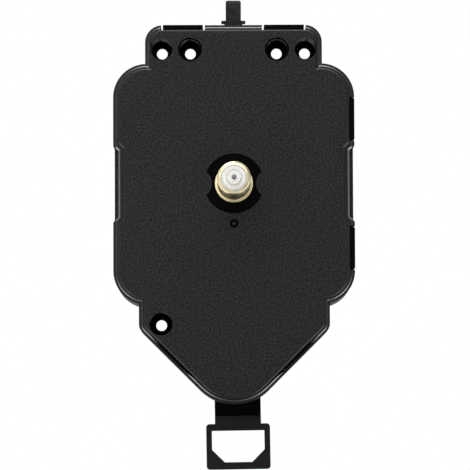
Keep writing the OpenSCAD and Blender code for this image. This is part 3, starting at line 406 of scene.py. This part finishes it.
def painted_highlight_material(name, dark, light, roughness, **sockets):
    """A material with highlights painted paler by the piece's own attribute for them, in soft patches."""
    material = new_material(name, dark, roughness, **sockets)
    tree = material.node_tree
    place = add_node(tree, "ShaderNodeTexCoord")
    noise = add_node(tree, "ShaderNodeTexNoise", {"Scale": 1 / PAINTED_HIGHLIGHT_PATCH, "Detail": 3.0},
                     {"Vector": place.outputs["Object"]})
    patchy = add_node(tree, "ShaderNodeMapRange",
                      {"From Min": 0.3, "From Max": 0.7, "To Min": 0.8, "To Max": 1.1},
                      {"Value": noise.outputs["Fac"]})
    painted_highlight = add_node(tree, "ShaderNodeAttribute", {"attribute_name": "painted_highlight"})
    share = add_node(tree, "ShaderNodeMath", {"operation": "MULTIPLY"},
                     {0: painted_highlight.outputs["Fac"], 1: patchy.outputs["Result"]})
    tint_by(material, share.outputs["Value"], dark, light)
    return material


# Materials, each named for what the real one is and how its surface was made

# Black polystyrene from a spark-eroded mould: an even matt grain that breaks up the light.
# The real grain is about 0.1 mm: it is drawn at 0.45 mm, so that it shows at the photograph's size
case_black = grain("spark_eroded_black_polystyrene", 0.45 * MM, 0.035 * MM, "#2a2a2b", "#111112", 0.55,
                   detail=4.0, Specular_IOR_Level=0.08)
# The same plastic on walls that leave the mould sideways: a finer grain, dragged smoother and darker
side_black = grain("dragged_black_polystyrene", 0.4 * MM, 0.015 * MM, "#1b1b1c", "#0e0e0f", 0.5,
                   Specular_IOR_Level=0.05)
# The same plastic off a polished mould: smooth, and darker as it mirrors the dark camera side; its colour
# is painted nearly black as painted shade in the wells, latch tongues and sunk places, and is also used on
# the raised marks
polished_black_and_painted_shade = grain("polished_black_polystyrene_and_painted_shade", 0.4 * MM, 0.001 * MM, "#070707", "#050505", 0.25,
                       Specular_IOR_Level=0.015)
# The same plastic on the cover's rounded rim, darker than the face, with painted highlights on its
# roundings in soft patches
rim_black_painted_highlight = painted_highlight_material("black_polystyrene_painted_highlight", "#151516", "#b4b4b4", 0.35, Specular_IOR_Level=0.2)
# Black acetal of the arm's hook frame, as moulded: even and matt
arm_matt = grain("matt_black_acetal", 0.25 * MM, 0.006 * MM, "#1e1e1f", "#181819", 0.5,
                 Specular_IOR_Level=0.08)
# Black acetal of the arm's strip, off a polished mould: smoother and darker
arm_smooth = grain("smooth_black_acetal", 0.4 * MM, 0.002 * MM, "#090909", "#060607", 0.3,
                   Specular_IOR_Level=0.01)
# Turned brass: bright pale gold with the lathe's rings. Real ones are about 0.1 mm apart: these, and
# those of the two metals below, are drawn wider apart, so that they show
turned_brass = turned("turned_brass", 0.754 * MM, 0.0015 * MM, "#f4e7bf", 0.25)
# Ground steel of the second hand's pin: grey, half bright
pin_steel = turned("ground_steel", 0.5027 * MM, 0.001 * MM, "#85878b", 0.35)
# Drawn nickel silver of the crystal's can: pale and bright
can_metal = turned("drawn_nickel_silver", 0.6283 * MM, 0.001 * MM, "#c6c7c8", 0.2)
# Natural acetal of the hand tubes and wheels: white, waxy and slightly translucent
white_acetal = grain("natural_white_acetal", 0.2 * MM, 0.002 * MM, "#d6d5d1", "#cccbc6", 0.35,
                     Subsurface_Weight=0.15, Subsurface_Scale=0.4 * MM)
# Natural ABS of the bridge plate: cream white, half matt
bridge_white = grain("natural_abs", 0.2 * MM, 0.003 * MM, "#e0dfd8", "#d6d5ce", 0.5)
# Nickel-plated spring bronze of the contacts: bright, slightly warm
plated_spring = grain("nickel_plated_bronze", 0.15 * MM, 0.001 * MM, "#cccbc5", "#c2c1bb", 0.3, 1.0)
# Blanked electrical steel of the motor's core: grey, slightly oily
core_steel = grain("blanked_electrical_steel", 0.3 * MM, 0.002 * MM, "#929396", "#838487", 0.4, 1.0)
# Enamelled copper wire: red brown under a clear gloss
copper_wire = grain("enamelled_copper", 0.1 * MM, 0.004 * MM, "#bd6032", "#a34c22", 0.3, 1.0)
# Sintered ferrite of the magnets: dark grey, fine matt grain
ferrite = grain("sintered_ferrite", 0.15 * MM, 0.006 * MM, "#424245", "#333336", 0.55)
# Solder-masked laminate of the circuit board: green, half bright
laminate = grain("solder_masked_laminate", 0.4 * MM, 0.002 * MM, "#236239", "#1b502d", 0.35)
# Cast epoxy resin over the chip: black and glossy
resin = grain("black_epoxy_resin", 0.5 * MM, 0.004 * MM, "#131314", "#0e0e0f", 0.18)

finish_of_slot = {
    "textured_case_plastic": case_black, "knob_plastic": case_black, "arm_plastic": arm_smooth,
    "hook_plastic": case_black, "bushing_brass": turned_brass, "white_acetal": white_acetal,
    "bridge_plastic": bridge_white, "spring_steel": plated_spring, "pin_steel": pin_steel,
    "core_steel": core_steel, "magnet": ferrite, "copper_wire": copper_wire,
    "board_laminate": laminate, "black_resin": resin, "crystal_can": can_metal}
for name, node in nodes.items():
    dress(node, finish_of_slot[slot_of_node[name]])


# Pieces of the movement

def screw_wells():
    """Place in the XZ plane and radius of each screw well in the cover, the outer pair first."""
    found = []
    for name, radius in WELL_R.items():
        x, _, z = mounts[name]["pos_m"]
        half = mounts[name]["dims"].get("spacing_x_mm", 0) / 2 * MM
        found += [((across, z), radius) for across in sorted({x - half, x + half})]
    return found


wells = screw_wells()


def in_well(place):
    """Whether a place is within a screw well or on its broken edge."""
    return any(math.hypot(place.x - x, place.z - z) < radius + 2 * SMALL_EDGE for (x, z), radius in wells)


def close_well(piece, at, radius):
    """Take out a well's round wall and close both of its ends flat."""
    def on_wall(face):
        off = [abs(math.hypot(c.co.x - at[0], c.co.z - at[1]) - radius) for c in face.verts]
        return max(off) < NEAR and abs(face.normal.y) < WALL

    with editing(piece, "FACE", on_wall):
        bpy.ops.mesh.delete(type="FACE")
        bpy.ops.mesh.select_mode(type="EDGE")
        bpy.ops.mesh.select_non_manifold(extend=False, use_wire=False, use_boundary=True,
                                         use_multi_face=False, use_non_contiguous=False, use_verts=False)
        bpy.ops.mesh.fill_holes(sides=0)


def cut_well(piece, at, radius):
    """Cut a round well right through the cover."""
    bpy.ops.object.select_all(action="DESELECT")
    bpy.ops.mesh.primitive_cylinder_add(vertices=WELL_SIDES, radius=radius, depth=3 * COVER_T,
                                        location=(at[0], COVER_T / 2, at[1]), rotation=(math.pi / 2, 0, 0))
    cut(piece, settle("well"))


def open_slots(piece):
    """Draw the foot slots' inner walls out to the face's edge, so that its rounding runs past them."""
    apex = max(corner.co.x - corner.co.z for corner in piece.data.vertices)
    step = SLOT_BITE / math.sqrt(2)

    def on_inner_wall(place, side):
        inset = (apex - side * place.x + place.z) / math.sqrt(2) - RIM_W
        beside = SLOT_X[0] < side * place.x < SLOT_X[1]
        return SLOT_BITE / 2 < inset < 2 * SLOT_BITE and beside and place.y < COVER_T + NEAR

    for side in (-1, 1):
        with editing(piece, "VERT", lambda corner: on_inner_wall(corner.co, side)):
            bpy.ops.transform.translate(value=(side * step, 0, -step))
    tidy_mesh(piece)


def painted_highlight_share(centre, normal):
    """How much painted highlight a face of the rounded rim gets, by its place and by the direction that it
    looks in.
    """
    angle = math.degrees(math.atan2(normal.z, normal.x))
    share = PAINTED_HIGHLIGHT_LEAST
    for direction, spread, most in PAINTED_HIGHLIGHTS:
        apart = abs((angle - direction + 180) % 360 - 180)
        share += most * math.exp(-(apart / spread) ** 2)
    if not RIM_Y < centre.y < LEDGE_Y:
        return share * FACE_PAINTED_HIGHLIGHT
    return share + (SIDE_PAINTED_HIGHLIGHT if SIDE_STRETCH[0] < centre.z < SIDE_STRETCH[1] else 0)


def cover_finish(centre, normal):
    """Grained on the face and behind the rim, with painted highlights on the rim, and polished with painted
    shade in all that is sunk.
    """
    # Wells and all that is sunk round the shaft take the polished black, painted nearly black as shade
    if in_well(centre):
        return polished_black_and_painted_shade
    if centre.y > LEDGE_Y + NEAR or (normal.y < -SQUARE and abs(centre.y - FACE_Y) < NEAR):
        return case_black
    return polished_black_and_painted_shade if off_axis(centre) < SUNK_REACH else rim_black_painted_highlight


def front_cover():
    """The cover, with its rim and face rounded and its outer wells cut again through the rounding."""
    cover = merged_copy("front_cover", "cover_moulding")
    open_slots(cover)
    outer_wells, other_wells = wells[:2], wells[2:]
    for at, radius in outer_wells:
        close_well(cover, at, radius)
    tidy_mesh(cover)

    def rim_edge(edge):
        inner = any(near.is_manifold and not near.is_convex and lies_at(near, RIM_Y)
                    for corner in edge.verts for near in corner.link_edges)
        return lies_at(edge, RIM_Y) and not inner

    def face_edge(edge):
        middle = (edge.verts[0].co + edge.verts[1].co) / 2
        clear = all(math.hypot(middle.x - x, middle.z - z) > radius + NEAR
                    for (x, z), radius in other_wells)
        return lies_at(edge, FACE_Y) and clear and off_axis(middle) > SUNK_REACH

    round_edges(cover, RIM_ROUND, rim_edge, segments=4)
    round_edges(cover, FACE_ROUND, face_edge, segments=4)
    for at, radius in outer_wells:
        cut_well(cover, at, radius)
    soften_edges(cover, SMALL_EDGE)
    dress_by(cover, cover_finish, case_black, polished_black_and_painted_shade, rim_black_painted_highlight)
    # Each rounding of the rim gets its share of painted highlight, the flats none
    painted_highlight = cover.data.attributes.new("painted_highlight", "FLOAT", "FACE")
    for face in cover.data.polygons:
        rounding = WALL < abs(face.normal.y) < ROUNDED
        painted_highlight.data[face.index].value = painted_highlight_share(face.center, face.normal) if rounding else 0.0
    stand_for(cover, "front_cover")


def case_finish(centre, normal):
    """Polished and painted nearly black as shade on the latch tongues and in the wells, dragged on the side
    walls and grained elsewhere.
    """
    # Latch tongues and wells take the polished black, painted nearly black as shade
    if centre.y < COVER_T - NEAR or in_well(centre):
        return polished_black_and_painted_shade
    return side_black if abs(normal.y) < SIDE else case_black


def rear_case():
    """The case, with its rear edges rounded."""
    case = merged_copy("rear_case", "case_moulding")
    round_edges(case, BACK_ROUND, lambda edge: lies_at(edge, CASE_BACK) or lies_at(edge, BASE_BACK),
                segments=3)
    soften_edges(case, SMALL_EDGE)
    dress_by(case, case_finish, case_black, polished_black_and_painted_shade, side_black)
    stand_for(case, "rear_case")


def pendulum_arm():
    """The arm, with well-rounded edges; its hook frame is matt and its strip smooth."""
    arm = merged_copy("pendulum_arm", "arm_moulding")
    soften_edges(arm, ARM_ROUND, segments=3)
    dress_by(arm, lambda centre, normal: arm_matt if centre.z < FRAME_TOP else arm_smooth,
             arm_smooth, arm_matt)
    stand_for(arm, "pendulum_arm")


def small_moulding(node, name):
    """The hook or the knob, with its edges broken."""
    moulding = merged_copy(node, name)
    soften_edges(moulding, MOULDING_EDGE)
    dress(moulding, finish_of_slot[slot_of_node[node]])
    stand_for(moulding, node)


def helix(name, sides, radius, section_r, axis, pitch, turns, steps):
    """A closed bar of regular section wound round an axis through the origin, one corner inwards."""
    bpy.ops.object.select_all(action="DESELECT")
    across = (radius, 0, 0) if axis == "Y" else (0, radius, 0)
    turn = math.pi / 2 if axis == "Y" else math.pi
    bpy.ops.mesh.primitive_circle_add(vertices=sides, radius=section_r, location=across,
                                      rotation=(0, 0, turn))
    wound = settle(name)
    apply_modifier(wound, "SCREW", axis=axis, angle=math.copysign(math.tau, pitch), screw_offset=pitch,
                   iterations=turns, steps=steps, render_steps=steps, use_merge_vertices=False)
    with editing(wound):
        bpy.ops.mesh.remove_doubles(threshold=MERGE)
        bpy.ops.mesh.fill_holes(sides=sides)
        bpy.ops.mesh.select_all(action="SELECT")
        bpy.ops.mesh.normals_make_consistent(inside=False)
    return wound


def threaded_bushing():
    """The bushing, with its fine V thread cut as a real helix."""
    bushing = merged_copy("threaded_bushing", "threaded_bushing_turned")
    soften_edges(bushing, SMALL_EDGE)
    turns = math.ceil((BUSH_L - THREAD_START) / THREAD_PITCH)
    middle_r = BUSH_R - THREAD_DEPTH + GROOVE_R
    groove = helix("groove", 3, middle_r, GROOVE_R, "Y", -THREAD_PITCH, turns, THREAD_STEPS)
    move_to(groove, (0, -THREAD_START - GROOVE_H / 2, 0))
    cut(bushing, groove)
    only(bushing)
    bpy.ops.object.shade_smooth_by_angle(angle=SHARP)
    dress(bushing, turned_brass)
    stand_for(bushing, "threaded_bushing")


def wound_coil(node, name, axis, wire_r):
    """A coil whose outer layer of wire is laid turn by turn over a plain core."""
    coil = merged_copy(node, name)
    low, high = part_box(node)
    centre = (low + high) / 2
    outer = (high.z - low.z) / 2
    index = "XYZ".index(axis)
    length = high[index] - low[index]

    def on_outside(corner):
        offset = corner.co - centre
        offset[index] = 0
        return offset.length > outer - NEAR

    core = [(outer - wire_r) / outer] * 3
    core[index] = 1
    with editing(coil, "VERT", on_outside):
        bpy.ops.transform.resize(value=core, center_override=tuple(centre))
    pitch = WIRE_PITCH * 2 * wire_r
    turns = int(length / pitch) - 1
    wire = helix("wire", WIRE_SIDES, outer - wire_r, wire_r, axis, pitch, turns, WIRE_STEPS)
    start = Vector(centre)
    start[index] -= turns * pitch / 2
    move_to(wire, start)
    only(coil, wire)
    bpy.ops.object.join()
    bpy.ops.object.shade_smooth_by_angle(angle=2 * SHARP)
    dress(coil, copper_wire)
    stand_for(coil, node)


def finish_mark(mark):
    """Break a raised mark's edges and fix it to the case."""
    soften_edges(mark, SMALL_EDGE)
    dress(mark, polished_black_and_painted_shade)
    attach(mark, body_of_node["rear_case"])


def stroke(name, across, up, place):
    """One raised stroke of a sign, round a place."""
    bpy.ops.object.select_all(action="DESELECT")
    bpy.ops.mesh.primitive_cube_add(size=1, location=place, scale=(across, MARK_RISE + MARK_SINK, up))
    return settle(name)


def polarity_sign(name, contact, plus):
    """A plus or a minus on the battery bay's floor, beside the contact that it names."""
    low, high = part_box(contact)
    side = math.copysign(1, low.x + high.x)
    place = Vector((side * SIGN_X, BAY_FLOOR + (MARK_RISE - MARK_SINK) / 2, SIGN_Z))
    sign = stroke(name, SIGN_W, MARK_LINE, place)
    if plus:
        cut(sign, stroke("upright", MARK_LINE, SIGN_W, place), "UNION")
    finish_mark(sign)


def setting_arrow():
    """A curved arrow raised on the back round the foot of the setting knob's well."""
    low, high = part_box("setting_knob")
    hub = (low + high) / 2
    hub.y = CASE_BACK + (MARK_RISE - MARK_SINK) / 2

    def on_arc(angle):
        return hub + ARROW_R * Vector((math.cos(angle), 0, math.sin(angle)))

    bpy.ops.object.select_all(action="DESELECT")
    bpy.ops.mesh.primitive_plane_add(size=1, location=on_arc(ARROW_START), rotation=(0, -ARROW_START, 0))
    bpy.context.object.scale = (MARK_LINE, MARK_RISE + MARK_SINK, 1)
    arrow = settle("setting_arrow")
    with editing(arrow):
        bpy.ops.mesh.spin(steps=ARROW_STEPS, angle=ARROW_END - ARROW_START, center=hub, axis=(0, 1, 0))
        bpy.ops.mesh.select_all(action="SELECT")
        bpy.ops.mesh.normals_make_consistent(inside=False)
    bpy.ops.object.select_all(action="DESELECT")
    bpy.ops.mesh.primitive_cylinder_add(vertices=3, radius=ARROW_HEAD, depth=MARK_RISE + MARK_SINK,
                                        location=on_arc(ARROW_END), rotation=(math.pi / 2, 0, 0))
    head = bpy.context.object
    bpy.ops.object.transform_apply(location=False, rotation=True, scale=False)
    head.rotation_euler = (0, -ARROW_END, 0)
    cut(arrow, settle("arrow_head"), "UNION")
    finish_mark(arrow)


front_cover()
rear_case()
polarity_sign("plus_mark", "positive_contact", plus=True)
polarity_sign("minus_mark", "negative_contact", plus=False)
setting_arrow()
pendulum_arm()
threaded_bushing()
wound_coil("motor_coil", "motor_winding", "X", MOTOR_WIRE_R)
wound_coil("drive_coil", "drive_winding", "Y", DRIVE_WIRE_R)
small_moulding("hanging_hook", "hook_moulding")
small_moulding("setting_knob", "knob_moulding")


# Surroundings, floor, lamps and camera

def world_light():
    """White surroundings; gloss sees them paler overhead, with a dark patch in front and one behind."""
    world = bpy.data.worlds.new("white_surroundings")
    bpy.context.scene.world = world
    world.use_nodes = True
    tree = world.node_tree
    tree.nodes.clear()
    path = add_node(tree, "ShaderNodeLightPath")
    place = add_node(tree, "ShaderNodeTexCoord")
    axes = add_node(tree, "ShaderNodeSeparateXYZ", None, {"Vector": place.outputs["Generated"]})
    depth = add_node(tree, "ShaderNodeMath", {"operation": "ABSOLUTE"}, {0: axes.outputs["Y"]})
    patches = add_node(tree, "ShaderNodeMapRange",
                       {"From Min": PATCH[0], "From Max": PATCH[1], "To Min": 1.0, "To Max": PATCH_LEVEL},
                       {"Value": depth.outputs["Value"]})
    height = add_node(tree, "ShaderNodeMapRange",
                      {"From Min": HORIZON[0], "From Max": HORIZON[1],
                       "To Min": BELOW_LEVEL, "To Max": 1.0},
                      {"Value": axes.outputs["Z"]})
    graded = add_node(tree, "ShaderNodeMath", {"operation": "MULTIPLY"},
                      {0: patches.outputs["Result"], 1: height.outputs["Result"]})
    soft = add_node(tree, "ShaderNodeBackground", {"Color": (1, 1, 1, 1), "Strength": SOFT_LIGHT})
    mirrored = add_node(tree, "ShaderNodeBackground", {"Color": (1, 1, 1, 1)},
                        {"Strength": graded.outputs["Value"]})
    white = add_node(tree, "ShaderNodeBackground", {"Color": (1, 1, 1, 1), "Strength": 1.0})
    gloss_or_glass = add_node(tree, "ShaderNodeMath", {"operation": "MAXIMUM"},
                              {0: path.outputs["Is Glossy Ray"], 1: path.outputs["Is Transmission Ray"]})
    lit = add_node(tree, "ShaderNodeMixShader", None,
                   {0: gloss_or_glass.outputs["Value"], 1: soft.outputs[0], 2: mirrored.outputs[0]})
    seen = add_node(tree, "ShaderNodeMixShader", None,
                    {0: path.outputs["Is Camera Ray"], 1: lit.outputs[0], 2: white.outputs[0]})
    add_node(tree, "ShaderNodeOutputWorld", None, {"Surface": seen.outputs[0]})


def floor_material():
    """Pale board that keeps the object's shadow and turns into the white background further out.

    Gloss sees a painted dark strip on it under the object, standing in for the shade under a real camera,
    between bright sides.
    """
    material = new_material("pale_floor", "#f4f4f2", 0.8)
    tree = material.node_tree
    path = add_node(tree, "ShaderNodeLightPath")
    place = add_node(tree, "ShaderNodeTexCoord")
    distance = add_node(tree, "ShaderNodeVectorMath", {"operation": "LENGTH"}, {0: place.outputs["Object"]})
    away = add_node(tree, "ShaderNodeMapRange",
                    {"From Min": FLOOR_FADE[0], "From Max": FLOOR_FADE[1], "To Min": 0.0, "To Max": 1.0},
                    {"Value": distance.outputs["Value"]})
    share = add_node(tree, "ShaderNodeMath", {"operation": "MULTIPLY"},
                     {0: away.outputs["Result"], 1: path.outputs["Is Camera Ray"]})
    white = add_node(tree, "ShaderNodeEmission", {"Color": (1, 1, 1, 1), "Strength": 1.0})
    seen = add_node(tree, "ShaderNodeMixShader", None,
                    {0: share.outputs["Value"], 1: tree.nodes["Principled BSDF"].outputs[0],
                     2: white.outputs[0]})
    axes = add_node(tree, "ShaderNodeSeparateXYZ", None, {"Vector": place.outputs["Object"]})
    aside = add_node(tree, "ShaderNodeMath", {"operation": "ABSOLUTE"}, {0: axes.outputs["X"]})
    strip = add_node(tree, "ShaderNodeMapRange",
                     {"From Min": STRIP[0], "From Max": STRIP[1], "To Min": STRIP_LEVEL, "To Max": 1.0},
                     {"Value": aside.outputs["Value"]})
    mirrored = add_node(tree, "ShaderNodeEmission", {"Color": (1, 1, 1, 1)},
                        {"Strength": strip.outputs["Result"]})
    surface = add_node(tree, "ShaderNodeMixShader", None,
                       {0: path.outputs["Is Glossy Ray"], 1: seen.outputs[0], 2: mirrored.outputs[0]})
    tree.links.new(surface.outputs[0], tree.nodes["Material Output"].inputs["Surface"])
    return material


def studio():
    """Soft lamps above the front, overhead and behind, and the floor."""
    world_light()
    for name, place, watts, side in LAMPS:
        lamp = bpy.data.lights.new(name, "AREA")
        lamp.energy = watts
        lamp.size = side
        holder = bpy.data.objects.new(name, lamp)
        bpy.context.scene.collection.objects.link(holder)
        holder.location = place
        holder.rotation_euler = (AIM - Vector(place)).to_track_quat("-Z", "Y").to_euler()

    bpy.ops.object.select_all(action="DESELECT")
    bpy.ops.mesh.primitive_plane_add(size=FLOOR_W, location=(0, 0, cad_low.z - FLOOR_DROP))
    floor = bpy.context.object
    floor.name = "floor"
    dress(floor, floor_material())


def camera():
    """The photograph's viewpoint."""
    data = bpy.data.cameras.new("view")
    data.angle = VIEW_ANGLE
    data.clip_start = 10 * MM
    holder = bpy.data.objects.new("view", data)
    bpy.context.scene.collection.objects.link(holder)
    back = Vector((math.sin(VIEW_AZIMUTH) * math.cos(VIEW_ELEVATION),
                   -math.cos(VIEW_AZIMUTH) * math.cos(VIEW_ELEVATION), math.sin(VIEW_ELEVATION)))
    holder.location = AIM + back * VIEW_DISTANCE
    holder.rotation_mode = "QUATERNION"
    holder.rotation_quaternion = (-back).to_track_quat("-Z", "Y") @ Quaternion((0, 0, 1), VIEW_ROLL)
    bpy.context.scene.camera = holder


camera()
studio()
bpy.context.scene.view_settings.view_transform = "Standard"
